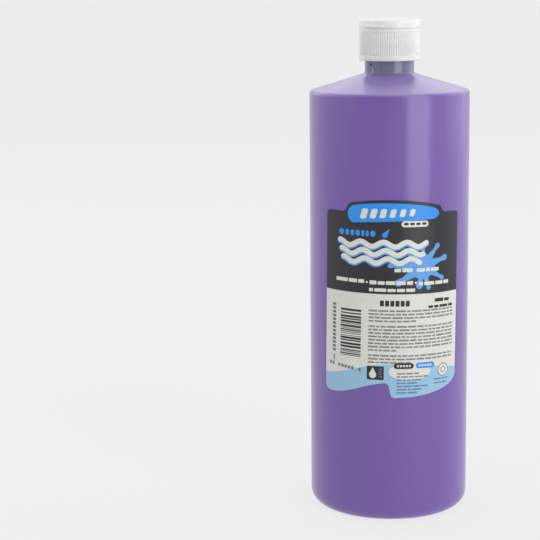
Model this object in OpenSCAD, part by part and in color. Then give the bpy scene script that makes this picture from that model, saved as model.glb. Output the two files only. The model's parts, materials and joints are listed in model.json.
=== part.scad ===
// One-litre round squeeze bottle of paint, closed by a screw cap with a flip-top lid.
// Millimetres, +Z up. The origin is the centre of the standing ring, and the label faces -Y.
// The lid opens at the thumb lip, which cap_clock turns from -Y towards -X.

/* [Body] */
// Outer diameter of the body
body_d = 81; // [72:1:98]
// Height of the sharp corner between wall and shoulder
shoulder_z = 215; // [178:1:260]
// Wall thickness of the bottle
wall_t = 1.0; // [0.8:0.1:1.5]
// Radius of the base corner
base_round = 7.5; // [4:0.5:10]
// Width of the flat ring that the bottle stands on
ring_w = 4; // [3:0.5:8]
// Height of the push-up inside the standing ring
pushup_h = 3; // [2:0.5:5]
// Horizontal run of the slope from the ring up to the push-up
pushup_run = 6; // [4:0.5:9]

/* [Shoulder and neck] */
// Rise of the conical shoulder from the wall to the neck
shoulder_rise = 8.5; // [7:0.5:16]
// Radius of the corner between wall and shoulder
shoulder_round = 2.2; // [1.5:0.1:4]
// Radius of the hollow corner between shoulder and neck
neck_fillet = 1.6; // [1:0.1:3]
// Outer diameter of the neck between the threads
neck_d = 24.9; // [20.5:0.1:30]
// Height of the neck from the shoulder to the sealing land
neck_h = 20.4; // [19.5:0.1:25]
// Wall thickness of the neck
neck_t = 1.7; // [1.4:0.1:2.4]
// Width of the locating lug at the foot of the neck
lug_w = 5; // [3:0.5:7]
// Height of the lug above the foot of the neck
lug_h = 5.2; // [4:0.1:5.8]
// Reach of the lug past the neck
lug_reach = 1.1; // [0.6:0.1:1.4]
// Direction of the lug, turned from -Y towards -X
lug_clock = 53; // [0:1:90]

/* [Screw thread] */
// Axial distance from one turn to the next
pitch = 4.233; // [3.6:0.001:5.1]
// Number of turns on the neck and in the cap
turns = 1.5; // [1:0.25:1.5]
// Height of the neck thread above the neck
thread_h = 1.25; // [1:0.05:1.5]
// Axial width of a thread at its root
thread_root = 2.2; // [1.6:0.1:2.3]
// Axial width of a thread at its crest
thread_crest = 0.9; // [0.6:0.1:1.1]
// Distance from the sealing land down to the first thread
thread_drop = 1.5; // [1.2:0.1:2]
// Radial clearance at both thread crests
thread_gap = 0.25; // [0.2:0.05:0.4]

/* [Contents and label] */
// Empty height between the paint and the shoulder corner
headspace = 6.5; // [5:0.5:25]
// Clearance between the paint and the bottle
fill_gap = 0.1; // [0.05:0.05:0.3]
// Width of the label, measured round the bottle
label_w = 74.8; // [60:0.2:90]
// Height of the label's lowest edge above the floor
label_z = 65; // [30:1:70]
// Height of the label from its lowest edge to its square shoulders
label_h = 92.5; // [70:0.5:104]
// Rise of the arched title tab above the label's shoulders
label_arch = 7.5; // [4:0.5:9]
// Rise of the wave in the label's lower edge
label_wave = 7.5; // [4:0.5:10]
// Turn of the label on the wall, clockwise as seen from the front
label_tilt = 1; // [-2:0.1:2]
// Thickness of the label film
label_t = 0.15; // [0.1:0.05:0.3]
// Thickness of the adhesive under the label
glue_t = 0.03; // [0.02:0.01:0.1]

/* [Cap base] */
// Thickness of the sealing liner
liner_t = 0.8; // [0.5:0.1:1.2]
// Overlap of the liner inside the neck's bore
liner_lap = 1.75; // [1:0.05:3]
// Depth of the skirt below the deck
skirt_h = 14.7; // [14:0.1:17]
// Thickness of the deck
deck_t = 1.4; // [1.2:0.1:2]
// Wall thickness of the skirt under its grip ribs
skirt_t = 0.95; // [0.8:0.05:1.6]
// Number of grip ribs
rib_count = 84; // [48:4:96]
// Height of a grip rib
rib_h = 0.4; // [0.2:0.05:0.6]
// Height of the plain ring under the ribs
foot_h = 2.5; // [1.5:0.1:4]
// Diameter of the pouring hole
orifice_d = 6; // [4:0.1:7.4]
// Wall thickness of the pouring nozzle
nozzle_t = 1.4; // [1:0.1:2.2]
// Height of the nozzle above the deck
nozzle_h = 2.1; // [1.5:0.1:2.2]
// Height of the raised ring that centres the lid
collar_h = 1.2; // [0.8:0.1:1.4]
// Direction of the thumb lip, turned from -Y towards -X
cap_clock = 33; // [0:1:90]

/* [Lid and hinge] */
// Height of the lid's side
lid_h = 3.9; // [3.9:0.1:5]
// Rise of the lid's crown above its edge
crown_h = 0.7; // [0.4:0.1:1.2]
// Overhang of the lid past the grip ribs
lid_over = 0.25; // [0.1:0.05:0.5]
// Wall thickness of the lid
lid_t = 1.3; // [1:0.1:1.5]
// Parting gap between deck and lid
lid_gap = 0.2; // [0.2:0.05:0.4]
// Depth to which the lid's plug enters the pouring hole
plug_depth = 1.2; // [0.6:0.1:1.4]
// Clearance between the plug and the pouring hole
plug_gap = 0.25; // [0.2:0.05:0.4]
// Reach of the thumb lip past the lid
lip_reach = 0.9; // [0.5:0.1:1.5]
// Width of the thumb lip
lip_w = 11; // [7:0.5:13]
// Width of the flat that carries the hinge
hinge_w = 14; // [11.5:0.5:15]
// Distance of the hinge axis outside that flat
hinge_out = 0.3; // [0.25:0.05:0.5]
// Opening angle of the lid
lid_open = 160; // [120:5:165]
// Thickness of the hinge films
film_t = 0.35; // [0.3:0.05:0.5]
// Width of each hinge film
film_w = 2.4; // [1.8:0.1:2.6]
// Width of the snap strap between the films
strap_w = 3.2; // [2:0.1:4]

/* [Hidden] */
$fn = 96;
sink = 0.5;             // depth to which a thread's root is buried in its wall
over = 5;               // length of a cutting tool past the face that it cuts
thread_steps = 36;      // stations in one turn of a thread
fade_turn = 0.09;       // share of a turn over which a thread runs out
arc_steps = 8;          // steps of each rounded corner
curve_steps = 9;        // steps of each free curve

// Heights, from the floor up
neck_z = shoulder_z + shoulder_rise;
land_z = neck_z + neck_h;
deck_z = land_z + liner_t;
deck_top = deck_z + deck_t;
skirt_z = deck_z - skirt_h;
lid_z = deck_top + lid_gap;
lid_edge = lid_z + lid_h;
nozzle_top = deck_top + nozzle_h;
ceiling_z = lid_edge - lid_t;
thread_z = land_z - thread_drop - thread_root / 2 - pitch * turns;
paint_z = shoulder_z - headspace;

// Radii, from the neck outwards
body_r = body_d / 2;
ring_in = body_r - base_round - ring_w;
neck_r = neck_d / 2;
bore_r = neck_r - neck_t;
crest_r = neck_r + thread_h;
skirt_in = crest_r + thread_gap;
cap_crest = neck_r + thread_gap;
liner_r = skirt_in - 0.3;
skirt_r = skirt_in + skirt_t;
rib_r = skirt_r + rib_h;
lid_r = rib_r + lid_over;
lid_in = lid_r - lid_t;
orifice_r = orifice_d / 2;
plug_r = orifice_r - plug_gap;
plug_taper = 0.2;

// Slope of the shoulder, and the drop of its inner face below its outer face
slope = atan(shoulder_rise / (body_r - neck_r));
inner_drop = wall_t / cos(slope);

// Hinge: the flat, the axis outside it, and the height of the parting plane
flat_y = sqrt(lid_r * lid_r - hinge_w * hinge_w / 4);
hinge_y = flat_y + hinge_out;
hinge_z = deck_top + lid_gap / 2;
flat_h = 1.2;           // height of the hinge flat on the deck
relief_gap = 0.35;      // clearance between the skirt and the fully open lid
relief_h = 6;           // height of the slope under the hinge flat
film_x = (strap_w + film_w) / 2 + 0.6;
film_reach = 1;         // reach of a film above and below the parting plane
strap_t = 0.4;          // thickness of the snap strap
strap_r = 1.15;         // outer radius of the strap's bow

// Ring on the deck, just inside the lid's back wall
collar_t = 0.8;
collar_r = flat_y - lid_t - 0.25;

// ---- Curves ----
function unit(v) = v / norm(v);

// Arc of radius r in the corner p of the path a, p, b
function corner(a, p, b, r) =
    let (u = unit(a - p), v = unit(b - p), half = acos(u * v) / 2)
    let (c = p + unit(u + v) * r / sin(half), s = p + u * r / tan(half) - c)
    let (turn = (180 - 2 * half) * sign(s.x * (p - c).y - s.y * (p - c).x))
    [for (i = [0 : arc_steps]) let (t = turn * i / arc_steps)
        c + [s.x * cos(t) - s.y * sin(t), s.x * sin(t) + s.y * cos(t)]];

// Path through points given as [x, y, corner radius]
function rounded(path) = [
    for (i = [0 : len(path) - 1])
        let (p = path[i], q = [p.x, p.y])
        let (a = path[max(i - 1, 0)], b = path[min(i + 1, len(path) - 1)])
        each p.z == 0 ? [q] : corner([a.x, a.y], q, [b.x, b.y], p.z)
];

// Cubic curve with the control points a, b, c, d, without its last point
function curve(a, b, c, d) = [
    for (i = [0 : curve_steps - 1])
        let (t = i / curve_steps, s = 1 - t)
        a * s * s * s + b * 3 * s * s * t + c * 3 * s * t * t + d * t * t * t
];

// Height of the shoulder's inner face at a radius
function inner_shoulder(r) = shoulder_z + (body_r - r) * tan(slope) - inner_drop;

// Floor and lower wall of the inside, inset by gap, from the axis to the wall
function inner_floor(gap) = let (lift = wall_t + gap) [
    [0, pushup_h + lift, 0],
    [ring_in - pushup_run, pushup_h + lift, 2],
    [ring_in, lift, 1.5],
    [body_r - lift, lift, base_round - wall_t]
];

// Helical rib whose cross-section runs from [r_in, w_in] to [r_out, w_out]; keep is the radius
// of the buried root, to which the rib shrinks at both ends
module helix(z, r_in, w_in, r_out, w_out, keep) {
    stations = round(thread_steps * turns);
    points = [
        for (i = [0 : stations])
            let (turn = i / thread_steps)
            let (fade = max(0.12, min(1, turn / fade_turn, (turns - turn) / fade_turn)))
            let (a = keep + (r_in - keep) * fade, b = keep + (r_out - keep) * fade)
            for (p = [[a, -w_in], [b, -w_out], [b, w_out], [a, w_in]])
                [p.x * cos(360 * turn), p.x * sin(360 * turn), z + pitch * turn + p.y / 2]
    ];
    sides = [
        for (i = [0 : stations - 1], j = [0 : 3])
            let (a = 4 * i + j, b = 4 * i + (j + 1) % 4)
            each [[a, b, b + 4], [a, b + 4, a + 4]]
    ];
    last = 4 * stations;
    ends = [[3, 2, 1], [3, 1, 0], [last, last + 1, last + 2], [last, last + 2, last + 3]];
    polyhedron(points, concat(sides, ends));
}

module tube(z, h, r, t) {
    translate([0, 0, z]) difference() {
        cylinder(h = h, r = r);
        translate([0, 0, -over]) cylinder(h = h + 2 * over, r = r - t);
    }
}

// ---- Bottle ----
module lug() {
    rotate([0, 0, -lug_clock]) translate([0, neck_t / 2 - neck_r, neck_z]) rotate([90, 0, 0])
        linear_extrude(neck_t / 2 + lug_reach) {
            translate([-lug_w / 2, -0.6]) square([lug_w, lug_h - lug_w / 2 + 0.6]);
            translate([0, lug_h - lug_w / 2]) circle(d = lug_w);
        }
}

module bottle_shell() {
    outside = [
        [0, pushup_h, 0],
        [ring_in - pushup_run, pushup_h, 2],
        [ring_in, 0, 1.5],
        [body_r, 0, base_round],
        [body_r, shoulder_z, shoulder_round],
        [neck_r, neck_z, neck_fillet],
        [neck_r, land_z, 0.5],
        [bore_r, land_z, 0.4]
    ];
    inside = [
        [bore_r, inner_shoulder(bore_r), neck_fillet],
        [body_r - wall_t, inner_shoulder(body_r - wall_t), shoulder_round - wall_t]
    ];
    floor_in = inner_floor(0);
    back = [for (i = [len(floor_in) - 1 : -1 : 0]) floor_in[i]];
    color("mediumpurple") union() {
        rotate_extrude() polygon(rounded(concat(outside, inside, back)));
        lug();
        helix(thread_z, neck_r - sink, thread_root, crest_r, thread_crest, neck_r - sink);
    }
}

module paint_fill() {
    surface = [
        [body_r - wall_t - fill_gap, paint_z, 0],
        [0, paint_z, 0]
    ];
    color("rebeccapurple") rotate_extrude() polygon(rounded(concat(inner_floor(fill_gap), surface)));
}

// ---- Label ----
// Outline as [distance round the bottle, height], clockwise from the upper left corner
function label_outline() =
    let (h = label_w / 2, low = label_z, top = label_z + label_h, r = 2)
    let (arch = top + label_arch * 0.6, wave = low + label_wave)
    concat(
        curve([-h, top - r], [-h, top - r / 2], [-h + r / 2, top], [-h + r, top]),
        curve([-0.72 * h, top], [-0.66 * h, top], [-0.66 * h, arch - 1], [-0.6 * h, arch]),
        curve([-0.6 * h, arch], [-0.22 * h, top + label_arch], [0.26 * h, top + label_arch],
              [0.64 * h, arch - 1]),
        curve([0.64 * h, arch - 1], [0.68 * h, arch - 1.6], [0.68 * h, top], [0.74 * h, top]),
        curve([h - r, top], [h - r / 2, top], [h, top - r / 2], [h, top - r]),
        curve([h, low + 10], [0.98 * h, low + 4.4], [0.59 * h, low + 1], [0.13 * h, low]),
        curve([0.04 * h, low], [-0.05 * h, low], [0.01 * h, wave], [-0.09 * h, wave]),
        curve([-0.09 * h, wave], [-0.37 * h, wave - 1], [-0.59 * h, low + 0.5], [-0.88 * h, low + 0.5]),
        curve([-0.88 * h, low + 0.5], [-0.98 * h, low + 0.5], [-h, low + 2], [-h, low + 4.5])
    );

// The film is the tilted outline wrapped on the wall, so a distance s lands at the angle s / r
module label() {
    r = body_r + glue_t;
    middle = label_z + label_h / 2;
    tilted = [for (p = label_outline()) [
        p.x * cos(label_tilt) + (p.y - middle) * sin(label_tilt),
        middle - p.x * sin(label_tilt) + (p.y - middle) * cos(label_tilt)
    ]];
    flat = [for (p = tilted) [r * sin(p.x / r * 180 / PI), p.y]];
    color("gainsboro") intersection() {
        rotate([90, 0, 0]) linear_extrude(body_r + over) polygon(flat);
        translate([0, 0, label_z - over]) difference() {
            cylinder(h = label_h + label_arch + 2 * over, r = r + label_t);
            translate([0, 0, -over]) cylinder(h = label_h + label_arch + 4 * over, r = r);
        }
    }
}

// ---- Cap ----
module cap_liner() {
    color("whitesmoke") tube(land_z, liner_t, liner_r, liner_r - bore_r + liner_lap);
}

module grip_ribs() {
    step = 360 / rib_count;
    teeth = [
        for (i = [0 : rib_count - 1], p = [[skirt_r, 0], [rib_r, 0.22], [rib_r, 0.5], [skirt_r, 0.72]])
            p.x * [cos((i + p.y) * step), sin((i + p.y) * step)]
    ];
    translate([0, 0, skirt_z + foot_h / 2])
        linear_extrude(deck_z - skirt_z - foot_h / 2) polygon(teeth);
}

// Foot ring, core and deck; the core lies inside the ribs
module skirt_solid() {
    core_r = (skirt_in + skirt_r) / 2;
    profile = [
        [0, skirt_z, 0],
        [rib_r + 0.05, skirt_z, 0.3],
        [rib_r + 0.05, skirt_z + foot_h, 0.2],
        [core_r, skirt_z + foot_h, 0],
        [core_r, deck_z - 0.2, 0],
        [rib_r + 0.03, deck_z - 0.2, 0],
        [rib_r + 0.03, deck_top - 0.8, 0],
        [rib_r - 0.15, deck_top, 0.1],
        [0, deck_top, 0]
    ];
    rotate_extrude() polygon(rounded(profile));
}

// Flat behind the deck, and the slope below it that lets the open lid swing down
module hinge_recess() {
    translate([-hinge_w / 2, flat_y, deck_top - flat_h]) cube([hinge_w, over, flat_h + over]);
    translate([0, hinge_y, hinge_z]) rotate([180 - lid_open, 0, 0])
        translate([-hinge_w / 2, hinge_out - relief_gap, -relief_h])
            cube([hinge_w, over, relief_h]);
}

module cap_base() {
    color("white") rotate([0, 0, -cap_clock]) {
        difference() {
            union() {
                skirt_solid();
                grip_ribs();
                tube(deck_z + deck_t / 2, deck_t / 2 + collar_h, collar_r, collar_t);
                translate([0, 0, deck_z + deck_t / 2])
                    cylinder(h = nozzle_top - deck_z - deck_t / 2, r = orifice_r + nozzle_t);
            }
            translate([0, 0, skirt_z - over]) cylinder(h = skirt_h + over, r = skirt_in);
            translate([0, 0, skirt_z]) cylinder(h = skirt_h + deck_t + nozzle_h + over, r = orifice_r);
            hinge_recess();
        }
        helix(thread_z - pitch / 2, cap_crest, thread_crest, skirt_in + sink, thread_root,
              skirt_in + sink);
    }
}

module lid_shell() {
    outside = [
        [0, lid_z, 0],
        [lid_r, lid_z, 0.2],
        [lid_r, lid_edge, 0.9],
        [lid_r * 0.45, lid_edge + crown_h * 0.85, 8],
        [0, lid_edge + crown_h, 0]
    ];
    rotate_extrude() polygon(rounded(outside));
}

module thumb_lip() {
    intersection() {
        translate([0, 0, lid_z + 0.3]) cylinder(h = 1.5, r1 = lid_r + lip_reach * 0.6,
                                                r2 = lid_r + lip_reach);
        translate([-lip_w / 2, -lid_r - over, lid_z]) cube([lip_w, 2 * over, lid_h]);
    }
}

module flip_lid() {
    color("white") rotate([0, 0, -cap_clock]) {
        difference() {
            union() {
                lid_shell();
                thumb_lip();
            }
            translate([-lid_r, flat_y, lid_z - over]) cube([2 * lid_r, over, lid_h + 3 * over]);
            intersection() {
                translate([0, 0, lid_z - over]) cylinder(h = ceiling_z - lid_z + over, r = lid_in);
                translate([-lid_r, flat_y - lid_t - 2 * lid_r, lid_z - over])
                    cube([2 * lid_r, 2 * lid_r, lid_h + 2 * over]);
            }
            translate([0, -lid_r - 5.3, lid_edge + 5.3]) sphere(r = 8);
        }
        translate([0, 0, nozzle_top - plug_depth])
            cylinder(h = plug_depth, r1 = plug_r - plug_taper, r2 = plug_r);
        translate([0, 0, nozzle_top]) cylinder(h = ceiling_z + 0.2 - nozzle_top, r = plug_r);
    }
}

// ---- Hinge ----
module hinge_films() {
    color("ghostwhite") rotate([0, 0, -cap_clock])
        for (side = [-1, 1])
            translate([side * film_x - film_w / 2, flat_y, hinge_z - film_reach])
                cube([film_w, film_t, 2 * film_reach]);
}

module snap_strap() {
    color("ghostwhite") rotate([0, 0, -cap_clock]) translate([0, flat_y, hinge_z]) intersection() {
        rotate([0, 90, 0]) difference() {
            cylinder(h = strap_w, r = strap_r, center = true);
            cylinder(h = strap_w + over, r = strap_r - strap_t, center = true);
        }
        translate([-strap_w, 0, -2 * strap_r]) cube([2 * strap_w, 2 * strap_r, 4 * strap_r]);
    }
}

bottle_shell();
paint_fill();
label();
cap_liner();
cap_base();
flip_lid();
hinge_films();
snap_strap();
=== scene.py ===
"""A one-litre flip-top bottle of paint: its looks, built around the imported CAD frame.

Shapes are worked out in millimetres and stored in metres. The bottle's axis is Z and its label
faces -Y. Cap parts are drawn with the thumb lip towards -Y, then turned by CAP_CLOCK towards -X.
"""
import json
import math
import random

import bpy
from mathutils import Matrix, Vector, noise
from mathutils.geometry import delaunay_2d_cdt


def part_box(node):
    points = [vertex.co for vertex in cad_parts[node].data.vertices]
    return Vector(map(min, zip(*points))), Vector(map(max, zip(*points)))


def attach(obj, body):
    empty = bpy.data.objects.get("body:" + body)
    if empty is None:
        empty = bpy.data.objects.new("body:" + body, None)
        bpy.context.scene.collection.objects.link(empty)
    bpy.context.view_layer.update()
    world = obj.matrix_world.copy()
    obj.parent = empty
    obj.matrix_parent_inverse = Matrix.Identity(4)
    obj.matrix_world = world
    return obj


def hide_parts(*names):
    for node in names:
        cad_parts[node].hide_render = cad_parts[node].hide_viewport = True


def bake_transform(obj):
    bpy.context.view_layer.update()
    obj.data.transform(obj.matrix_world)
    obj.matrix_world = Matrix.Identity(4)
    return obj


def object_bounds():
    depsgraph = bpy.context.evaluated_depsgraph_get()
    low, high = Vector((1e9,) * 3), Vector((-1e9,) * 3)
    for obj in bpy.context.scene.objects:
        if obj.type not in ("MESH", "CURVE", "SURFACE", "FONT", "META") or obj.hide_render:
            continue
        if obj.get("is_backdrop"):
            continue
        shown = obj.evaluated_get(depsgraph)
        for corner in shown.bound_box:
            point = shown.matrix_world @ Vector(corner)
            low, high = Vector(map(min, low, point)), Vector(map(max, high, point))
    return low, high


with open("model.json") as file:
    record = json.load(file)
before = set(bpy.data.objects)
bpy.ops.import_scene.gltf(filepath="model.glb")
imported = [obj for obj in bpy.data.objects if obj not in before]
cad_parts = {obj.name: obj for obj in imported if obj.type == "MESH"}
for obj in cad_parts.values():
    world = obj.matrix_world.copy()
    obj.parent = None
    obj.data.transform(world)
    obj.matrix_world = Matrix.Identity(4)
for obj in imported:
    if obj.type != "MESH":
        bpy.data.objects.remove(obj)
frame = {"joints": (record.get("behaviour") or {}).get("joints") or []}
cad_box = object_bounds()

MM = 0.001
TAU = math.tau


# ---- Sizes from the frame, and the few that it doesn't give, in millimetres ----
def span(node):
    """Lowest and highest corner of a CAD node, in millimetres."""
    low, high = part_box(node)
    return low / MM, high / MM


BODY_R = span("bottle_shell")[1].x
LAND_Z = span("bottle_shell")[1].z
SKIRT_Z = span("cap_base")[0].z
NOZZLE_TOP = span("cap_base")[1].z
LID_Z = span("flip_lid")[0].z
LID_TOP = span("flip_lid")[1].z
LINER_Z = span("cap_liner")[0].z
DECK_Z = span("cap_liner")[1].z
LINER_R = span("cap_liner")[1].x
PAINT_Z = span("paint_fill")[1].z

WALL = 1.0
BASE_ROUND = 7.5
RING_IN = BODY_R - BASE_ROUND - 4
PUSHUP = 3
PUSHUP_R = RING_IN - 6
NECK_R = 12.45
BORE_R = NECK_R - 1.7
NECK_Z = LAND_Z - 20.4
SHOULDER_Z = NECK_Z - 8.5
SHOULDER_SLOPE = (NECK_Z - SHOULDER_Z) / (BODY_R - NECK_R)
SHOULDER_ROUND = 2.2
NECK_FILLET = 1.6
FILL_GAP = 0.1
LUG_CLOCK = math.radians(53)
LUG_W = 5
LUG_H = 5.2
LUG_REACH = 1.1

PITCH = 4.233
TURNS = 1.5
THREAD_H = 1.25
THREAD_GAP = 0.25
THREAD_SINK = 0.5
THREAD_ROOT = 2.2
THREAD_CREST = 0.9
THREAD_DROP = 1.5
THREAD_Z = LAND_Z - THREAD_DROP - THREAD_ROOT / 2 - PITCH * TURNS

CAP_CLOCK = math.radians(33)
SKIRT_IN = NECK_R + THREAD_H + THREAD_GAP
SKIRT_R = SKIRT_IN + 0.95
RIB_R = SKIRT_R + 0.4
RIBS = 84
FOOT_H = 2.5
DECK_TOP = DECK_Z + 1.4
ORIFICE_R = 3
NOZZLE_R = ORIFICE_R + 1.4
LID_R = RIB_R + 0.25
LID_WALL = 1.3
CROWN = 0.7
LID_EDGE = LID_TOP - CROWN
LID_CEILING = LID_EDGE - LID_WALL
LIP_REACH = 0.9
HINGE_HALF = 7
FLAT_Y = math.sqrt(LID_R ** 2 - HINGE_HALF ** 2)
HINGE_Y = FLAT_Y + 0.3
HINGE_Z = DECK_TOP + 0.1
FLAT_H = 1.2
COLLAR_R = FLAT_Y - LID_WALL - 0.25
COLLAR_H = 1.2
COLLAR_WALL = 0.8
LID_OPEN = math.radians(160)
RELIEF_GAP = 0.35
PLUG_R = ORIFICE_R - 0.25
PLUG_Z = NOZZLE_TOP - 1.2
LINER_HOLE = BORE_R - 1.75


# ---- Mesh tools ----
class Shape:
    """Vertices in millimetres and faces with a material number, gathered from several parts."""

    def __init__(self):
        self.verts = []
        self.faces = []
        self.inks = []

    def add(self, verts, faces, ink=0):
        """Adds a part whose faces count from its own first vertex, in one ink or one per face."""
        start = len(self.verts)
        self.verts += verts
        self.faces += [[start + i for i in face] for face in faces]
        self.inks += [ink] * len(faces) if isinstance(ink, int) else list(ink)
        return self

    def build(self, name, materials, sharp=40, turn=0.0):
        """Makes the piece, turned from -Y towards -X, with edges sharp over an angle in degrees."""
        mesh = bpy.data.meshes.new(name)
        mesh.from_pydata([Vector(v) * MM for v in self.verts], [], self.faces)
        mesh.transform(Matrix.Rotation(-turn, 4, "Z"))
        for material in materials:
            mesh.materials.append(material)
        mesh.polygons.foreach_set("material_index", self.inks)
        mesh.shade_smooth()
        mesh.set_sharp_from_angle(angle=math.radians(sharp))
        mesh.validate()
        piece = bpy.data.objects.new(name, mesh)
        bpy.context.scene.collection.objects.link(piece)
        return piece


def smooth(low, high, x):
    """Rises gently from 0 at low to 1 at high."""
    t = min(max((x - low) / (high - low), 0), 1)
    return t * t * (3 - 2 * t)


def rounded(path, steps=8):
    """Points of a path given as (x, y, corner radius), with each corner as an arc."""
    points = []
    for i, (x, y, radius) in enumerate(path):
        p = Vector((x, y))
        if not radius:
            points.append(p)
            continue
        u = (Vector(path[i - 1][:2]) - p).normalized()
        v = (Vector(path[(i + 1) % len(path)][:2]) - p).normalized()
        half = u.angle(v) / 2
        centre = p + (u + v).normalized() * radius / math.sin(half)
        start = p + u * radius / math.tan(half) - centre
        turn = (math.pi - 2 * half) * (1 if start.cross(p - centre) > 0 else -1)
        points += [centre + Matrix.Rotation(turn * k / steps, 2) @ start for k in range(steps + 1)]
    return points


def dense(points, step):
    """The same path with a point at least every step along its straight stretches."""
    result = [points[0]]
    for p in points[1:]:
        last = result[-1]
        count = max(1, math.ceil((p - last).length / step))
        result += [last.lerp(p, (k + 1) / count) for k in range(count)]
    return result


def even_angles(count, extra=()):
    """Angles round a turn, with more of them round each (middle, half width, count) in extra."""
    least = 1e-4
    angles = [TAU * k / count for k in range(count)]
    for middle, half, more in extra:
        angles += [(middle + half * (2 * k / more - 1)) % TAU for k in range(more + 1)]
    angles.sort()
    return [a for k, a in enumerate(angles) if k == 0 or a - angles[k - 1] > least]


def lathe(profile, angles, warp=None, closed=False):
    """Vertices and faces of a profile of (radius, height) turned round Z. warp(i, a, r, z) returns
    the point for row i at angle a; without it the surface is round."""
    count = len(angles)
    verts, rows, faces = [], [], []
    for i, (r, z) in enumerate(profile):
        if r < 1e-6:
            rows.append([len(verts)] * count)
            verts.append((0, 0, z))
            continue
        rows.append(range(len(verts), len(verts) + count))
        for a in angles:
            verts.append(warp(i, a, r, z) if warp else (r * math.cos(a), r * math.sin(a), z))
    for low, high in zip(rows, rows[1:] + rows[:1] if closed else rows[1:]):
        for k in range(count):
            m = (k + 1) % count
            face = [low[k], low[m], high[m], high[k]]
            faces.append([v for j, v in enumerate(face) if v != face[j - 1]])
    return verts, faces


def tube_faces(rings, n):
    """Faces of a closed tube of rings with n vertices each, capped at both ends."""
    faces = []
    for i in range(rings - 1):
        for j in range(n):
            k = (j + 1) % n
            faces.append([i * n + j, (i + 1) * n + j, (i + 1) * n + k, i * n + k])
    faces.append(list(range(n)))
    faces.append([(rings - 1) * n + j for j in reversed(range(n))])
    return faces


def helix(z, root, crest, steps=60):
    """A screw thread between two radii, of rounded trapezoid section, which starts at height z and
    runs out into its wall at both ends."""
    count = round(steps * TURNS)
    mid = (root + crest) / 2
    mid_half = (THREAD_ROOT + THREAD_CREST) / 4
    nose = 0.2
    inset = math.copysign(nose, crest - root)
    half = THREAD_CREST / 2
    section = [
        (root, -THREAD_ROOT / 2), (mid, -mid_half), (crest - inset, -half - nose / 4),
        (crest, nose - half), (crest, half - nose), (crest - inset, half + nose / 4),
        (mid, mid_half), (root, THREAD_ROOT / 2),
    ]
    if crest < root:
        section.reverse()
    run_out = 0.12
    verts = []
    for i in range(count + 1):
        turn = i / steps
        a = TAU * turn
        fade = max(0.1, smooth(0, run_out, turn) * smooth(0, run_out, TURNS - turn))
        for r, dz in section:
            r = root + (r - root) * fade
            dz *= 0.4 + 0.6 * fade
            verts.append((r * math.cos(a), r * math.sin(a), z + PITCH * turn + dz))
    return verts, tube_faces(count + 1, len(section))


# ---- Materials ----
# The range that the values of a noise texture mostly fill
NOISE_LOW = 0.3
NOISE_HIGH = 0.7
NOISE_RANGE = (NOISE_LOW, NOISE_HIGH)


def srgb(r, g, b):
    """Linear colour of an 8-bit display colour."""
    return [((c / 255 + 0.055) / 1.055) ** 2.4 if c > 10 else c / 3294.6 for c in (r, g, b)] + [1]


def shade(colour, factor):
    """A linear colour made darker or lighter."""
    return [c * factor for c in colour[:3]] + [1]


def material(name, roughness, ior=1.49, specular=0.5):
    """A new material with its node tree and its shader."""
    mat = bpy.data.materials.new(name)
    mat.use_nodes = True
    shader = mat.node_tree.nodes["Principled BSDF"]
    shader.inputs["Roughness"].default_value = roughness
    shader.inputs["IOR"].default_value = ior
    shader.inputs["Specular IOR Level"].default_value = specular
    return mat, mat.node_tree, shader


def add_node(tree, kind, inputs=None, **settings):
    """A node with its settings; each input gets a value or a link from another node's output."""
    node = tree.nodes.new(kind)
    for key, value in settings.items():
        setattr(node, key, value)
    for key, value in (inputs or {}).items():
        if isinstance(value, bpy.types.NodeSocket):
            tree.links.new(value, node.inputs[key])
        else:
            node.inputs[key].default_value = value
    return node


def noise_of(tree, scale, detail=3, stretch=(1, 1, 1)):
    """Noise in object space, with scale in features per metre."""
    place = add_node(tree, "ShaderNodeTexCoord").outputs["Object"]
    mapped = add_node(tree, "ShaderNodeMapping", {"Vector": place, "Scale": stretch})
    texture = add_node(tree, "ShaderNodeTexNoise",
                       {"Vector": mapped.outputs["Vector"], "Scale": scale, "Detail": detail})
    return texture.outputs["Fac"]


def ramp(tree, value, stops):
    """Colour of a value, from stops of (place, colour)."""
    node = add_node(tree, "ShaderNodeValToRGB", {"Fac": value})
    elements = node.color_ramp.elements
    while len(elements) < len(stops):
        elements.new(0.5)
    for element, (place, colour) in zip(elements, stops):
        element.position = place
        element.color = colour
    return node.outputs["Color"]


def remap(tree, value, source, target=(0.0, 1.0)):
    """Carries a value from one range to another and stops at its ends."""
    ends = zip(("From Min", "From Max", "To Min", "To Max"), (*source, *target))
    return add_node(tree, "ShaderNodeMapRange", {"Value": value, **dict(ends)}).outputs["Result"]


def bump(tree, shader, layers):
    """Chains bumps of (height output, depth in millimetres) into the shader's normal."""
    normal = None
    for height, depth in layers:
        inputs = {"Height": height, "Strength": 1.0, "Distance": depth * MM}
        if normal:
            inputs["Normal"] = normal
        normal = add_node(tree, "ShaderNodeBump", inputs).outputs["Normal"]
    tree.links.new(normal, shader.inputs["Normal"])


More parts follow.
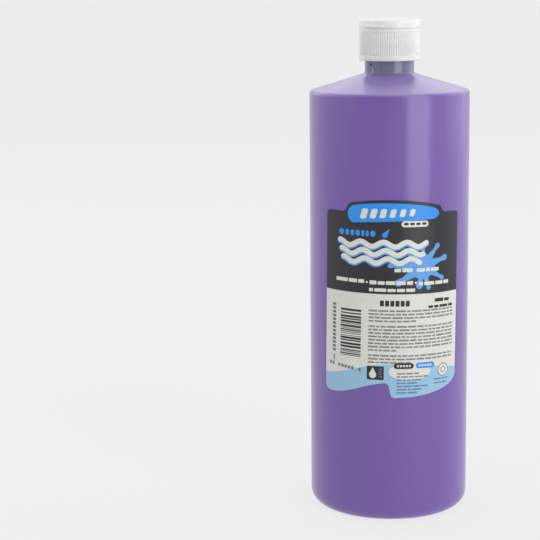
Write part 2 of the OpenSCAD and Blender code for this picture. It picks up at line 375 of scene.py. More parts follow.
def bottle_plastic():
    """Thin milky polyethylene. Paint shows through the wall, a thin film of it is left on the
    shoulder, which is coloured lighter there as painted light from overhead, and the neck is clean."""
    mat, tree, shader = material("bottle_hdpe", 0.5, 1.54, 0.4)
    place = add_node(tree, "ShaderNodeTexCoord").outputs["Object"]
    height = add_node(tree, "ShaderNodeSeparateXYZ", {"Vector": place}).outputs["Z"]
    cloud = noise_of(tree, 14, 3, (1, 1, 0.35))
    ragged = add_node(tree, "ShaderNodeMath", {0: noise_of(tree, 45, 3), 1: 0.0016, 2: height},
                      operation="MULTIPLY_ADD").outputs[0]
    low, high = SHOULDER_Z - 2, NECK_Z + 4
    level = remap(tree, ragged, (low * MM, high * MM))
    # The shoulder colour is lighter than both the paint and the clean neck: a thin film of paint with
    # painted light from overhead on it.
    purple, film_with_painted_light, milky = srgb(106, 75, 160), srgb(142, 120, 187), srgb(107, 106, 137)
    edges = (SHOULDER_Z - 0.4, SHOULDER_Z + 1.6, NECK_Z - 0.6, NECK_Z + 2.2)
    places = [(z - low) / (high - low) for z in edges]
    tone = ramp(tree, level, list(zip(places, (purple, film_with_painted_light, film_with_painted_light, milky))))
    tint = ramp(tree, cloud, [(NOISE_LOW, (0.95, 0.95, 0.95, 1)), (NOISE_HIGH, (1, 1, 1, 1))])
    mix = add_node(tree, "ShaderNodeMix", {0: 1.0}, data_type="RGBA", blend_type="MULTIPLY")
    tree.links.new(tone, mix.inputs["A"])
    tree.links.new(tint, mix.inputs["B"])
    tree.links.new(mix.outputs["Result"], shader.inputs["Base Color"])
    gloss = remap(tree, noise_of(tree, 90, 3), NOISE_RANGE, (0.46, 0.54))
    tree.links.new(gloss, shader.inputs["Roughness"])
    shader.inputs["Coat Weight"].default_value = 0.8
    shader.inputs["Coat Roughness"].default_value = 0.19
    bump(tree, shader, [(noise_of(tree, 900, 1), 0.0012), (noise_of(tree, 90, 2), 0.012)])
    return mat


def cap_plastic(name="cap_polypropylene", rough=0.34):
    """White polypropylene that lets a little light in."""
    mat, tree, shader = material(name, rough, 1.49)
    white = srgb(229, 231, 225)
    tint = ramp(tree, noise_of(tree, 120, 3), [(NOISE_LOW, shade(white, 0.965)), (NOISE_HIGH, white)])
    tree.links.new(tint, shader.inputs["Base Color"])
    gloss = remap(tree, noise_of(tree, 420, 4), NOISE_RANGE, (rough - 0.05, rough + 0.06))
    tree.links.new(gloss, shader.inputs["Roughness"])
    shader.inputs["Subsurface Weight"].default_value = 0.6
    shader.inputs["Subsurface Scale"].default_value = 0.002
    shader.inputs["Subsurface Radius"].default_value = (1, 0.95, 0.9)
    bump(tree, shader, [(noise_of(tree, 1500, 1), 0.0012), (noise_of(tree, 260, 2), 0.004)])
    return mat


def liner_foam():
    """Foamed liner with fine cells."""
    mat, tree, shader = material("liner_foam", 0.7, 1.45)
    white = srgb(228, 228, 222)
    cells = add_node(tree, "ShaderNodeTexVoronoi", {"Scale": 3200.0}).outputs["Distance"]
    tint = ramp(tree, cells, [(0.0, white), (0.6, shade(white, 0.86))])
    tree.links.new(tint, shader.inputs["Base Color"])
    bump(tree, shader, [(cells, 0.03)])
    return mat


def wet_paint():
    """Glossy paint with faint swirls."""
    mat, tree, shader = material("wet_paint", 0.12, 1.5)
    purple = srgb(92, 50, 160)
    swirl = noise_of(tree, 40, 5, (1, 1, 0.4))
    tint = ramp(tree, swirl, [(NOISE_LOW, shade(purple, 0.9)), (NOISE_HIGH, shade(purple, 1.12))])
    tree.links.new(tint, shader.inputs["Base Color"])
    bump(tree, shader, [(swirl, 0.05)])
    return mat


def printed(name, colour):
    """Varnished printed film: one ink with faint mottling and a soft gloss."""
    rough = 0.36
    mat, tree, shader = material("ink_" + name, rough, 1.5)
    mottle = noise_of(tree, 700, 4)
    tint = ramp(tree, mottle, [(NOISE_LOW, shade(colour, 0.95)), (NOISE_HIGH, shade(colour, 1.04))])
    tree.links.new(tint, shader.inputs["Base Color"])
    gloss = remap(tree, noise_of(tree, 150, 4), NOISE_RANGE, (rough - 0.04, rough + 0.05))
    tree.links.new(gloss, shader.inputs["Roughness"])
    bump(tree, shader, [(noise_of(tree, 90, 2), 0.02), (mottle, 0.002)])
    return mat


# ---- Bottle ----
def bottle_profile():
    """Outer path up to the mouth, then the inner path down; also the number of outer rows."""
    drop = WALL * math.hypot(1, SHOULDER_SLOPE)
    bore_foot = (BORE_R, SHOULDER_Z + (BODY_R - BORE_R) * SHOULDER_SLOPE - drop, NECK_FILLET)
    outside = [
        (0, PUSHUP, 0), (PUSHUP_R, PUSHUP, 2), (RING_IN, 0, 1.5), (BODY_R, 0, BASE_ROUND),
        (BODY_R, SHOULDER_Z, SHOULDER_ROUND), (NECK_R, NECK_Z, NECK_FILLET), (NECK_R, LAND_Z, 0.5),
        (BORE_R, LAND_Z, 0.4), bore_foot,
    ]
    inside = [
        (BORE_R, LAND_Z, 0), bore_foot,
        (BODY_R - WALL, SHOULDER_Z + WALL * SHOULDER_SLOPE - drop, 1.2),
        (BODY_R - WALL, WALL, BASE_ROUND - WALL), (RING_IN, WALL, 1.5),
        (PUSHUP_R, PUSHUP + WALL, 2), (0, PUSHUP + WALL, 0),
    ]
    # The outside's last corner only bends the mouth towards it, so its own points are dropped.
    steps = 12
    outer = dense(rounded(outside, steps)[:-(steps + 1)], 5)
    # Rows are close together where the lug rises at the foot of the neck.
    low, high, far = NECK_Z - 1.5, NECK_Z + LUG_H + 1, NECK_R + 4
    below = [p for p in outer if p.y <= low or p.x >= far]
    foot = [p for p in dense(outer, 0.3) if low < p.y < high and p.x < far]
    above = [p for p in outer if p.y >= high]
    outer = below + foot + above
    return outer + dense(rounded(inside)[1:], 8), len(outer)


def lug_rise(angle, z):
    """How far the locating lug stands out of the neck at an angle and height."""
    across = ((angle + math.pi / 2 + LUG_CLOCK + math.pi) % TAU - math.pi) * NECK_R
    up = max(z - (NECK_Z + LUG_H - LUG_W / 2), 0)
    return LUG_REACH * (1 - smooth(LUG_W / 2 - 0.7, LUG_W / 2 + 0.1, math.hypot(across, up)))


def bottle_point(outer_rows):
    """Adds the lug, the mould's parting line and a blow-moulded wall's faint waviness."""
    depth = 0.07

    def warp(i, a, r, z):
        if i < outer_rows:
            x, y = r * math.cos(a), r * math.sin(a)
            on_wall = smooth(BODY_R - 1, BODY_R, r)
            wave = noise.noise(Vector((x, y, z * 0.6)) * 0.035) * depth
            seam = sum(0.05 * math.exp(-((a - side) * r / 0.22) ** 2) for side in (0, math.pi, TAU))
            r += on_wall * (wave - depth + seam)
            if z > NECK_Z - 2 and r < NECK_R + LUG_REACH + 0.5:
                rise = lug_rise(a, z)
                r = max(r, NECK_R + rise) if rise > 0 else r
        return (r * math.cos(a), r * math.sin(a), z)
    return warp


def make_bottle():
    """The bottle and its screw thread, with narrower faces at the parting line and the lug."""
    profile, outer_rows = bottle_profile()
    lug_middle = (-math.pi / 2 - LUG_CLOCK) % TAU
    angles = even_angles(256, [(0, 0.02, 16), (math.pi, 0.02, 16), (lug_middle, 0.26, 36)])
    shape = Shape()
    shape.add(*lathe(profile, angles, bottle_point(outer_rows)))
    shape.add(*helix(THREAD_Z, NECK_R - THREAD_SINK, NECK_R + THREAD_H))
    return shape.build("bottle", [bottle_plastic()])


def make_paint():
    """The paint, with its surface drawn up a little where it meets the wall."""
    lift = WALL + FILL_GAP
    r = BODY_R - lift
    path = [
        (0, PUSHUP + lift, 0), (PUSHUP_R, PUSHUP + lift, 2), (RING_IN, lift, 1.5),
        (r, lift, BASE_ROUND - lift), (r, PAINT_Z, 0),
    ]
    steps, wide, deep = 9, 3.6, 0.9
    meniscus = [Vector((r - wide * t * t, PAINT_Z - deep * (1 - (1 - t) ** 2)))
                for t in (k / steps for k in range(1, steps + 1))]
    level = PAINT_Z - deep - 0.02
    profile = dense(rounded(path), 8) + meniscus + [Vector((r / 2, level)), Vector((0, level))]
    return Shape().add(*lathe(profile, even_angles(128))).build("paint", [wet_paint()])


# ---- Cap ----
def flat_limit(angle, reach):
    """Radius at which a vertical plane, reach behind the axis, cuts the direction of an angle."""
    away = math.sin(angle)
    return reach / away if away > 0.2 else math.inf


def soft_min(a, b, width):
    """The smaller of two radii, blended where they are within width of each other."""
    if b == math.inf:
        return a
    h = max(width - abs(a - b), 0) / width
    return min(a, b) - h * h * width / 4


def rib_rise(angle):
    """Rise of the grip ribs round the skirt, from 0 in a groove to 1 on a rib."""
    t = (angle * RIBS / TAU) % 1
    return smooth(0.0, 0.3, t) * (1 - smooth(0.52, 0.82, t))


def cap_profile():
    """Closed path of (x, y, radius) from the skirt's inner foot, up outside, over the deck and
    nozzle, down the pouring hole and back down inside the skirt."""
    foot = SKIRT_Z + FOOT_H
    return [
        (SKIRT_IN, SKIRT_Z, 0.25), (RIB_R, SKIRT_Z, 0.35), (RIB_R, foot, 0.15),
        (SKIRT_R, foot + 0.12, 0), (SKIRT_R, DECK_Z - 0.35, 0), (RIB_R + 0.03, DECK_Z - 0.2, 0.1),
        (RIB_R + 0.03, DECK_TOP - 0.2, 0.1), (RIB_R - 0.08, DECK_TOP, 0.06),
        (COLLAR_R, DECK_TOP, 0.15), (COLLAR_R, DECK_TOP + COLLAR_H, 0.25),
        (COLLAR_R - COLLAR_WALL, DECK_TOP + COLLAR_H, 0.2), (COLLAR_R - COLLAR_WALL, DECK_TOP, 0.3),
        (NOZZLE_R, DECK_TOP, 0.5), (NOZZLE_R, NOZZLE_TOP, 0.5), (ORIFICE_R, NOZZLE_TOP, 0.2),
        (ORIFICE_R, DECK_Z, 0.2), (SKIRT_IN, DECK_Z, 0.4),
    ]


def make_cap():
    """The cap base with its ribs, and a flat behind that slopes in below to let the lid swing."""
    profile = dense(rounded(cap_profile(), 6), 0.9)[:-1]
    rib_low = SKIRT_Z + FOOT_H + 0.1
    rib_high = DECK_Z - 0.3
    lean = math.pi - LID_OPEN
    back = RELIEF_GAP / math.cos(lean)

    def warp(i, a, r, z):
        if abs(r - SKIRT_R) < 0.01 and rib_low < z < rib_high:
            fade = smooth(rib_low, rib_low + 0.5, z) * (1 - smooth(rib_high - 0.5, rib_high, z))
            r += (RIB_R - SKIRT_R) * rib_rise(a) * fade
        if r > SKIRT_IN + 0.3:
            if z > DECK_TOP - FLAT_H:
                r = min(r, flat_limit(a, FLAT_Y - min(max(RIB_R - r, 0), 0.3)))
            else:
                reach = HINGE_Y + 0.3 - back + (HINGE_Z - z) * math.tan(lean)
                r = min(r, flat_limit(a, reach)) if abs(math.cos(a)) * r < HINGE_HALF else r
        return (r * math.cos(a), r * math.sin(a), z)

    shape = Shape().add(*lathe(profile, even_angles(RIBS * 8), warp, closed=True))
    shape.add(*helix(THREAD_Z - PITCH / 2, SKIRT_IN + THREAD_SINK, NECK_R + THREAD_GAP))
    return shape.build("cap", [cap_plastic()], 35, CAP_CLOCK)


def lid_profile():
    """Open path from the plug's tip, over the ceiling, down the wall, up outside to the crown."""
    path = [
        (0, PLUG_Z, 0), (PLUG_R - 0.25, PLUG_Z, 0.25), (PLUG_R, NOZZLE_TOP, 0.3),
        (PLUG_R, LID_CEILING, 0.3), (LID_R - LID_WALL, LID_CEILING, 0.5),
        (LID_R - LID_WALL, LID_Z - 0.15, 0.2), (LID_R, LID_Z - 0.15, 0.12), (LID_R, LID_EDGE, 0.8),
        (LID_R * 0.45, LID_EDGE + CROWN * 0.85, 8), (0, LID_TOP, 0),
    ]
    return dense(rounded(path), 0.45)


def make_lid():
    """The lid with its flat behind, its thumb lip and the scoop over the lip."""
    profile = lid_profile()
    outer_from = next(i for i, p in enumerate(profile) if p.x > LID_R - 0.3)
    scoop_r, away_by = 8, 5.3
    scoop = Vector((0, -LID_R - away_by, LID_EDGE + away_by))
    lip_low, lip_high = LID_Z + 0.3, LID_Z + 1.8
    flat_run = 0.6

    def warp(i, a, r, z):
        if i >= outer_from:
            r = soft_min(r, flat_limit(a, FLAT_Y - flat_run * (LID_R - r)), 0.35)
            across = abs(math.cos(a)) * LID_R
            if math.sin(a) < 0 and r > LID_R - 0.3:
                rise = smooth(lip_low - 0.1, lip_low + 0.5, z)
                fall = smooth(lip_high - 0.5, lip_high, z)
                r += LIP_REACH * rise * (1 - fall) * (1 - smooth(4.3, 5.6, across))
            p = Vector((r * math.cos(a), r * math.sin(a), z))
            away = p - scoop
            if away.length < scoop_r:
                p = scoop + away.normalized() * scoop_r
            return tuple(p)
        if r > PLUG_R + 1:
            r = min(r, flat_limit(a, FLAT_Y - LID_WALL - flat_run * (LID_R - LID_WALL - r)))
        return (r * math.cos(a), r * math.sin(a), z)

    corner = math.asin(HINGE_HALF / LID_R)
    angles = even_angles(240, [(math.pi / 2 - corner, 0.05, 12), (math.pi / 2 + corner, 0.05, 12)])
    shape = Shape().add(*lathe(profile, angles, warp))
    return shape.build("lid", [cap_plastic("lid_polypropylene", 0.3)], 35, CAP_CLOCK)


def make_liner():
    """The flat sealing ring under the deck."""
    edge = 0.12
    profile = rounded([(LINER_HOLE, LINER_Z, edge), (LINER_R, LINER_Z, edge),
                       (LINER_R, DECK_Z, edge), (LINER_HOLE, DECK_Z, edge)], 4)
    return Shape().add(*lathe(profile, even_angles(160), closed=True)).build("liner", [liner_foam()])


# ---- Hinge ----
def strip(path, x_low, x_high, thick):
    """A strap of even thickness along a path of (y, z), as wide as from x_low to x_high."""
    columns = [x_low + (x_high - x_low) * k / 6 for k in range(7)]
    verts = []
    for i, p in enumerate(path):
        along = (path[min(i + 1, len(path) - 1)] - path[max(i - 1, 0)]).normalized()
        out = Vector((along.y, -along.x))
        for q, side in ((p, columns), (p + out * thick, columns[::-1])):
            verts += [(x, q.x, q.y) for x in side]
    return verts, tube_faces(len(path), 2 * len(columns))


def make_films(mat):
    """Two thin films, pinched to half their thickness at the parting plane."""
    shape = Shape()
    reach, half = 1, 1.2
    path = [Vector((FLAT_Y, HINGE_Z + reach * (k / 12 - 1))) for k in range(25)]
    for middle in (-3.4, 3.4):
        verts, faces = strip(path, middle - half, middle + half, 0.35)
        verts = [(x, FLAT_Y + (y - FLAT_Y) * (0.5 + 0.5 * smooth(0.1, 0.7, abs(z - HINGE_Z))), z)
                 for x, y, z in verts]
        shape.add(verts, faces)
    return shape.build("films", [mat], 35, CAP_CLOCK)


def make_strap(mat):
    """The bowed strap between the films, which snaps the lid open or shut."""
    thick, half = 0.4, 1.6
    r = 1.15 - thick
    path = [Vector((FLAT_Y + r * math.sin(a), HINGE_Z - r * math.cos(a)))
            for a in (math.pi * k / 24 for k in range(25))]
    return Shape().add(*strip(path, -half, half, thick)).build("strap", [mat], 35, CAP_CLOCK)


# ---- Label ----
LABEL_T = 0.15
LABEL_R = BODY_R + 0.03 + LABEL_T
LABEL_HALF = 37.4
LABEL_Z = 65
LABEL_H = 92.5
LABEL_TOP = LABEL_Z + LABEL_H
LABEL_TILT = math.radians(1)
ARCH = 7.5
WAVE = 7.5
PANEL_Z = 117.5
INKS = {
    "paper": (214, 215, 206), "sky": (146, 188, 214), "panel": (32, 32, 38), "banner": (38, 140, 228),
    "splash": (88, 154, 222), "text": (32, 32, 38), "soft_text": (104, 106, 112),
    "fine_print": (126, 128, 128), "blue_print": (92, 122, 160),
}


def curve(points, steps=12):
    """Points of a cubic curve given by its four control points, without the last."""
    a, b, c, d = (Vector(p) for p in points)
    result = []
    for k in range(steps):
        t = k / steps
        s = 1 - t
        result.append(a * s ** 3 + b * 3 * s * s * t + c * 3 * s * t * t + d * t ** 3)
    return result


def label_outline():
    """The label's edge as (distance round the bottle, height), clockwise from the upper left."""
    h, low, top, r = LABEL_HALF, LABEL_Z, LABEL_TOP, 2
    arch, wave = top + ARCH * 0.6, low + WAVE
    curves = [
        [(-h, top - r), (-h, top - r / 2), (-h + r / 2, top), (-h + r, top)],
        [(-0.72 * h, top), (-0.66 * h, top), (-0.66 * h, arch - 1), (-0.6 * h, arch)],
        [(-0.6 * h, arch), (-0.22 * h, top + ARCH), (0.26 * h, top + ARCH), (0.64 * h, arch - 1)],
        [(0.64 * h, arch - 1), (0.68 * h, arch - 1.6), (0.68 * h, top), (0.74 * h, top)],
        [(h - r, top), (h - r / 2, top), (h, top - r / 2), (h, top - r)],
        [(h, low + 10), (0.98 * h, low + 4.4), (0.59 * h, low + 1), (0.13 * h, low)],
        [(0.04 * h, low), (-0.05 * h, low), (0.01 * h, wave), (-0.09 * h, wave)],
        [(-0.09 * h, wave), (-0.37 * h, wave - 1), (-0.59 * h, low + 0.5), (-0.88 * h, low + 0.5)],
        [(-0.88 * h, low + 0.5), (-0.98 * h, low + 0.5), (-h, low + 2), (-h, low + 4.5)],
    ]
    return [p for points in curves for p in curve(points)]


def bar(s0, s1, z0, z1, radius=None):
    """A box with round corners."""
    r = min(s1 - s0, z1 - z0) / 2 * 0.98 if radius is None else radius
    corners = [(s0, z0, r), (s1, z0, r), (s1, z1, r), (s0, z1, r)]
    return rounded(corners, 3) if r else [Vector(c[:2]) for c in corners]


def slanted(s, z, wide, tall, lean):
    """A round-cornered dab that leans to the right as it rises."""
    return [Vector((p.x + lean * (p.y - z), p.y)) for p in bar(s, s + wide, z, z + tall, 0.8)]


def disc(s, z, r, squash=1.0, steps=28):
    """A disc, or an ellipse where squash isn't 1."""
    return [Vector((s + r * math.cos(TAU * k / steps), z + r * squash * math.sin(TAU * k / steps)))
            for k in range(steps)]


def words(rng, s0, s1, z, height, letter=1.0, gap=0.9):
    """A line of greeked text: blocks of word length with gaps, and no letters."""
    result = []
    s = s0
    while s < s1 - letter:
        size = min(rng.choice((2, 3, 4, 5, 6)) * letter, s1 - s)
        result.append(bar(s, s + size, z, z + height * rng.uniform(0.85, 1.0), 0.12 * height))
        s += size + gap
    return result


def tapered(s, z, angle, length, r_root, r_tip, steps=10):
    """A splash arm: a limb from (s, z) that narrows, then ends in a round drop."""
    along = Vector((math.cos(angle), math.sin(angle)))
    across = Vector((-along.y, along.x))
    root = Vector((s, z))
    tip = root + along * length
    neck = root + along * (length - 1.6 * r_tip)
    drop = [tip + along * (r_tip * math.cos(a)) + across * (r_tip * math.sin(a))
            for a in (math.radians(-115 + 230 * k / steps) for k in range(steps + 1))]
    narrow = across * r_tip * 0.62
    wide = across * r_root
    return [root - wide, neck - narrow, *drop, neck + narrow, root + wide]


def band_edge(lift):
    """Upper edge of the pale band along the label's foot."""
    h = LABEL_HALF
    rise = [(-h - 2, 74.4), (-0.62 * h, 75.2), (-0.45 * h, 82), (0.0, 82.2)]
    fall = [(0.0, 82.2), (0.4 * h, 82.4), (0.75 * h, 79.5), (h + 2, 78)]
    return [p + Vector((0, lift)) for p in curve(rise) + curve(fall)] + [Vector((h + 2, 78 + lift))]


def round_end(end, before, radius):
    """Points round the end of a stroke that comes from before."""
    along = (end - before).normalized()
    across = Vector((-along.y, along.x))
    return [end + (across * math.cos(a) + along * math.sin(a)) * radius
            for a in (math.pi * k / 8 for k in range(1, 8))]


def wave_stroke(s0, s1, z, rise, length, width, steps=72):
    """A thick round-ended wavy line."""
    near = 1e-4

    def point(t):
        s = s0 + (s1 - s0) * t
        return Vector((s, z + rise * math.sin(TAU * (s - s0) / length + math.pi / 2)))

    upper, lower = [], []
    for k in range(steps + 1):
        t = k / steps
        along = (point(t + near) - point(t - near)).normalized()
        across = Vector((-along.y, along.x)) * width / 2
        upper.append(point(t) + across)
        lower.append(point(t) - across)
    tip = round_end(point(1), point(1 - near), width / 2)
    tail = round_end(point(0), point(near), width / 2)
    return upper + tip + lower[::-1] + tail


def label_artwork():
    """Inks and their outlines, from the ground up; all of it is generic decoration."""
    rng = random.Random(7)
    h = LABEL_HALF
    art = [("paper", label_outline())]
    foot = [Vector((h + 2, LABEL_Z - 3)), Vector((-h - 2, LABEL_Z - 3))]
    art.append(("sky", band_edge(0) + foot))
    art.append(("panel", bar(-h - 2, h + 2, PANEL_Z, LABEL_TOP + ARCH + 3, 0)))

    # Plain ribbon in the arched tab, with a row of dabs
    ribbon = (curve([(-21.5, 152.4), (-25, 155), (-25, 159), (-21.0, 161.0)])
              + curve([(-21.0, 161.0), (-9, 163.4), (8, 163.2), (20.5, 160.2)])
              + curve([(20.5, 160.2), (24.5, 158.6), (24.5, 155.6), (20.5, 154.6)])
              + curve([(20.5, 154.6), (6, 153.8), (-8, 153.6), (-21.5, 152.4)]))
    art.append(("banner", ribbon))
    for k in range(6):
        wide, tall = 3.2 - 0.14 * k, 5.0 - 0.28 * k
        art.append(("paper", slanted(-17.4 + 4.9 * k, 154.7 + 0.3 * k, wide, tall, 0.25)))
    art.append(("paper", bar(3.4, 17.4, 150.9, 153.9)))
    for k in range(4):
        art.append(("text", bar(4.6 + 3.1 * k, 7.0 + 3.1 * k, 151.8, 153.1)))

    # A blob of paint with arms of seeded lengths, behind the sub-title
    middle = Vector((14.6, 131.2))
    art.append(("splash", disc(middle.x, middle.y, 7.2, 0.85, 40)))
    arms = 9
    for k in range(arms):
        angle = TAU * (k + rng.uniform(0.2, 0.8)) / arms
        sideways = abs(math.cos(angle))
        length = 8.6 + 8.5 * sideways * rng.uniform(0.55, 1.0)
        tip = rng.uniform(1.0, 1.9)
        art.append(("splash", tapered(middle.x, middle.y, angle, length, tip + 1.4, tip)))

    # Small blue heading with a drop, over three wavy stripes
    s = -29.0
    for size in (3.0, 2.2, 2.0, 2.4, 1.5, 1.5, 2.6):
        art.append(("banner", bar(s, s + size, 145.9, 148.9)))
        s += size + 0.75
    art.append(("banner", disc(-4.6, 146.9, 1.35)))
    art.append(("banner", [Vector((-5.7, 147.7)), Vector((-3.6, 146.3)), Vector((-2.4, 150.0))]))
    for k in range(3):
        s0, s1, z = -28.4 + 1.1 * k, 16.4 - 1.6 * k, 142.3 - 4.1 * k
        art.append(("splash", wave_stroke(s0, s1, z - 0.45, 1.15, 11.6, 3.2)))
        art.append(("paper", wave_stroke(s0, s1, z, 1.15, 11.6, 2.5)))
    for s0, s1 in ((0.4, 9.4), (11.6, 24.0)):
        art += [("paper", w) for w in words(rng, s0, s1, 128.6, 2.0, 1.1, 0.6)]
    for s0, s1 in ((-30.4, -14.6), (-11.8, 9.8), (12.8, 30.6)):
        art += [("paper", w) for w in words(rng, s0, s1, 122.0 - 0.02 * s0, 2.0, 1.15, 0.6)]
    art += [("paper", disc(s, 123.2, 0.55)) for s in (-13.2, 11.3)]
    art += [("paper", w) for w in words(rng, -12.0, 11.0, 118.7, 1.7, 1.0, 0.6)]

    # Bar pattern and the column of marks beside it
    z = 85.0
    while z < 108.2:
        size = rng.choice((0.35, 0.35, 0.7, 1.1))
        art.append(("text", bar(-27.4, -15.8, z, z + size, 0)))
        z += size + rng.choice((0.35, 0.45, 0.8))
    for k in range(13):
        art.append(("soft_text", bar(-32.6, -30.4, 86.2 + 1.95 * k, 87.5 + 1.95 * k, 0.2)))
    art.append(("soft_text", bar(-31.8, -31.0, 81.6, 84.6, 0.1)))
    for k in (0, 1, 3, 4, 5, 6, 7, 9):
        s, z = -34.5 + 1.95 * k, 79.4 - 0.18 * k
        art.append(("soft_text", bar(s, s + 1.4, z, z + 1.6, 0.2)))

    # Colour name, volume and three blocks of fine print
    for k in range(6):
        art.append(("text", bar(-6.4 + 2.55 * k, -4.4 + 2.55 * k, 111.4, 114.3, 0.35)))
    art += [("text", w) for w in words(rng, 22.0, 31.4, 112.9, 1.8, 1.1, 0.6)]
    art += [("text", w) for w in words(rng, 18.4, 34.0, 110.0, 1.5, 0.9, 0.6)]
    z = 108.6
    for lines in (4, 8, 3):
        for k in range(lines):
            end = 34.4 if k < lines - 1 else rng.uniform(2, 14)
            art += [("fine_print", w) for w in words(rng, -12.0, end, z, 0.95, 0.85, 0.55)]
            z -= 1.72
        z -= 1.0

    # Icon of a drop, two plain pills, round mark and address lines over the pale band
    art.append(("paper", disc(9.6, 78.4, 11.0, 0.4, 40)))
    art.append(("text", bar(-12.4, -3.8, 74.0, 81.0, 0.3)))
    art.append(("paper", disc(-9.4, 76.6, 1.8)))
    art.append(("paper", [Vector((-11.1, 77.2)), Vector((-7.7, 77.2)), Vector((-9.4, 80.4))]))
    art += [("soft_text", bar(-6.4, -4.6, 75.4 + 1.3 * k, 76.0 + 1.3 * k, 0.1)) for k in range(4)]
    art.append(("text", bar(1.0, 11.2, 79.8, 82.8)))
    art += [("paper", bar(2.6 + 1.5 * k, 3.7 + 1.5 * k, 80.8, 81.8, 0.2)) for k in range(5)]
    art.append(("banner", bar(12.2, 22.6, 79.8, 82.8)))
    art += [("paper", bar(13.8 + 1.5 * k, 14.9 + 1.5 * k, 80.8, 81.8, 0.2)) for k in range(5)]
    for r, ink in ((3.4, "soft_text"), (3.0, "paper"), (1.6, "soft_text"), (1.2, "paper")):
        art.append((ink, disc(28.2, 78.0, r)))
    for k in range(7):
        ink = "fine_print" if k < 2 else "blue_print"
        end = 14 + 2.5 * ((k * 5) % 3)
        art += [(ink, w) for w in words(rng, 2.6, end, 77.0 - 1.62 * k, 0.85, 0.85, 0.5)]
    for end, z in ((31.6, 73.2), (31.0, 71.2)):
        art += [("blue_print", w) for w in words(rng, 22.6, end, z, 0.8, 0.8, 0.45)]
    return art


def signed_area(outline):
    """Area of an outline, above zero where it runs counter-clockwise."""
    return sum(a.cross(b) for a, b in zip(outline, outline[1:] + outline[:1])) / 2


def tilted(p):
    """A point of the artwork after the label's slight turn on the wall."""
    middle = Vector((0, LABEL_Z + LABEL_H / 2))
    return middle + Matrix.Rotation(-LABEL_TILT, 2) @ (p - middle)


def make_label():
    """Splits the label along every ink's edge, wraps it on the wall and gives it a thickness."""
    art = label_artwork()
    names = list(INKS)
    points, faces, edges = [], [], []
    for _, outline in art:
        outline = [tilted(p) for p in outline]
        if signed_area(outline) < 0:
            outline.reverse()
        faces.append(list(range(len(points), len(points) + len(outline))))
        points += outline
    # Upright cuts keep the faces narrow, so that they follow the wall.
    cut = 1.6
    count = math.ceil(LABEL_HALF / cut)
    for k in range(-count + 1, count):
        edges.append((len(points), len(points) + 1))
        points += [Vector((k * cut, LABEL_Z - 2)), Vector((k * cut, LABEL_TOP + ARCH + 2))]
    flat, _, parts, _, _, owners = delaunay_2d_cdt(points, edges, faces, 0, 1e-5)
    keep, inks = [], []
    for part, owner in zip(parts, owners):
        if 0 in owner:  # the label's own outline is the first
            keep.append(list(part))
            inks.append(names.index(art[max(owner)][0]))
    used = sorted({v for part in keep for v in part})
    number = {v: k for k, v in enumerate(used)}
    keep = [[number[v] for v in part] for part in keep]

    def wrap(p, r):
        angle = p.x / LABEL_R
        return (r * math.sin(angle), -r * math.cos(angle), p.y)

    n = len(used)
    verts = [wrap(flat[v], r) for r in (LABEL_R, LABEL_R - LABEL_T) for v in used]
    sides = {(a, b) for part in keep for a, b in zip(part, part[1:] + part[:1])}
    rim = [(a, b) for a, b in sides if (b, a) not in sides]
    shape = Shape().add(verts, keep, inks)
    shape.add([], [[v + n for v in reversed(part)] for part in keep])
    shape.add([], [[b, a, a + n, b + n] for a, b in rim])
    paper = names.index("paper")
    shape.inks[len(keep):] = [paper] * (len(shape.inks) - len(keep))
    return shape.build("wrap_label", [printed(name, srgb(*INKS[name])) for name in names], 50)


# ---- Studio ----
def make_floor():
    """A pale floor lit from within like a light table, which runs past the view."""
    mesh = bpy.data.meshes.new("floor")
    reach = 30
    corners = [(x * reach, y * reach, 0) for x, y in ((-1, -1), (1, -1), (1, 1), (-1, 1))]
    mesh.from_pydata(corners, [], [(0, 1, 2, 3)])
    floor = bpy.data.objects.new("floor", mesh)
    bpy.context.scene.collection.objects.link(floor)
    mat, tree, shader = material("studio_floor", 0.9, 1.3, 0.1)
    grey = srgb(86, 86, 86)
    tint = ramp(tree, noise_of(tree, 3, 2), [(NOISE_LOW, shade(grey, 0.98)), (NOISE_HIGH, grey)])
    tree.links.new(tint, shader.inputs["Base Color"])
    shader.inputs["Emission Color"].default_value = (1, 1, 1, 1)
    shader.inputs["Emission Strength"].default_value = 0.765
    mesh.materials.append(mat)
    floor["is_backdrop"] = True


def make_world():
    """A studio that is bright behind the bottle and overhead, and dim on the camera's side."""
    world = bpy.data.worlds.new("studio")
    bpy.context.scene.world = world
    world.use_nodes = True
    tree = world.node_tree
    way = add_node(tree, "ShaderNodeTexCoord").outputs["Generated"]
    parts = add_node(tree, "ShaderNodeSeparateXYZ", {"Vector": way})
    back = ramp(tree, remap(tree, parts.outputs["Y"], (-1, 1)),
                [(0.0, srgb(104, 104, 110)), (0.45, srgb(130, 130, 138)), (0.66, srgb(236, 236, 240)),
                 (1.0, srgb(255, 255, 255))])
    up = ramp(tree, remap(tree, parts.outputs["Z"], (-0.2, 1)),
              [(0.0, srgb(30, 30, 30)), (0.35, srgb(90, 90, 92)), (1.0, srgb(255, 255, 255))])
    both = add_node(tree, "ShaderNodeMix", {0: 1.0}, data_type="RGBA", blend_type="LIGHTEN")
    tree.links.new(back, both.inputs["A"])
    tree.links.new(up, both.inputs["B"])
    tree.links.new(both.outputs["Result"], tree.nodes["Background"].inputs["Color"])
    tree.nodes["Background"].inputs["Strength"].default_value = 0.85


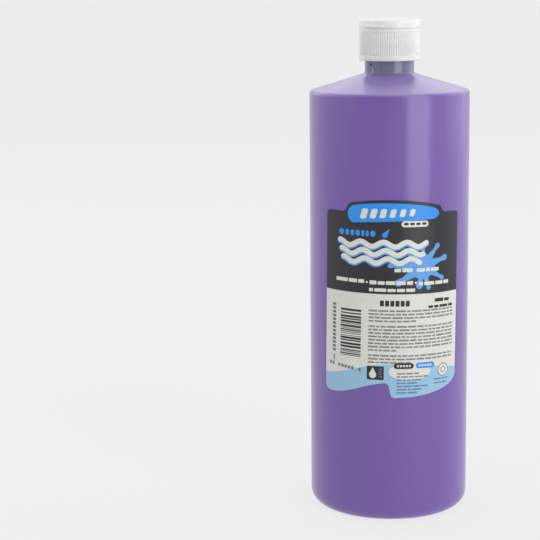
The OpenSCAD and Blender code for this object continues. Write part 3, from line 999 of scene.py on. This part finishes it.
def softbox(name, azimuth, distance, size, height, power, aim=None):
    """A rectangular light of (width, height) whose middle is at a height, in metres. It is turned
    to the bottle's axis at its own height or at aim, and azimuth is in degrees from -Y to +X."""
    light = bpy.data.lights.new(name, "AREA")
    light.shape = "RECTANGLE"
    light.size, light.size_y = size
    light.energy = power
    lamp = bpy.data.objects.new(name, light)
    a = math.radians(azimuth)
    lamp.location = (distance * math.sin(a), -distance * math.cos(a), height)
    way = Vector((0, 0, height if aim is None else aim)) - lamp.location
    lamp.rotation_euler = way.to_track_quat("-Z", "Y").to_euler()
    bpy.context.scene.collection.objects.link(lamp)


def make_lights():
    """A narrow key at the right, broad soft sides, and a large box overhead at the back."""
    softbox("key_box", 39, 0.95, (0.56, 1.1), 0.57, 6.2)
    softbox("side_right", 108, 1.3, (1.3, 1.2), 0.65, 3.9)
    softbox("side_left", -120, 1.3, (1.2, 1.0), 0.7, 4.0)
    softbox("fill_left", -72, 1.3, (1.0, 0.9), 0.6, 2.6)
    softbox("top_box", 180, 0.9, (3.0, 2.0), 1.35, 10, aim=0.2)


def make_camera():
    """Stands to the label's left, a little above the bottle, and pans so that it sits at the right."""
    data = bpy.data.cameras.new("camera")
    data.lens = 111.03
    data.sensor_width = 36
    data.clip_end = 100
    camera = bpy.data.objects.new("camera", data)
    around = math.radians(2.8)
    distance, height = 0.8466, 0.2749
    pan, pitch, roll = (math.radians(v) for v in (4.1504, 10.1962, -0.5802))
    camera.location = (-distance * math.sin(around), -distance * math.cos(around), height)
    turn = Matrix.Rotation(pan - around, 4, "Z") @ Matrix.Rotation(math.pi / 2 - pitch, 4, "X")
    camera.rotation_euler = (turn @ Matrix.Rotation(roll, 4, "Z")).to_euler()
    bpy.context.scene.collection.objects.link(camera)
    bpy.context.scene.camera = camera


make_camera()
make_floor()
make_world()
make_lights()
bpy.context.scene.view_settings.view_transform = "Standard"

hinge_plastic = cap_plastic("hinge_polypropylene", 0.3)
PIECES = [
    (make_bottle(), "bottle", "bottle_shell", "bottle"),
    (make_paint(), "bottle", "paint_fill", "paint"),
    (make_label(), "bottle", "label", "label"),
    (make_liner(), "liner", "cap_liner", "liner"),
    (make_cap(), "cap", "cap_base", "cap"),
    (make_lid(), "lid", "flip_lid", "cap"),
    (make_films(hinge_plastic), "cap", "hinge_films", "hinge"),
    (make_strap(hinge_plastic), "cap", "snap_strap", "hinge"),
]

# The films and the strap, with heights to each side of the hinge axis; only the keys are read, and
# each of these pieces has its transform baked into its mesh.
BENDS = {"hinge_films": 0.45, "snap_strap": 0.9}
hinge = next(j for j in frame["joints"] if j["name"] == "lid_hinge")
pivot = Vector(hinge["pos_m"])
for piece, body, node, slot in PIECES:
    if node in BENDS:
        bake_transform(piece)
    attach(piece, body)
    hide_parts(node)

boxes = {"cad": cad_box, "visual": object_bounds()}
{k: [list(corner) for corner in box] for k, box in boxes.items()}
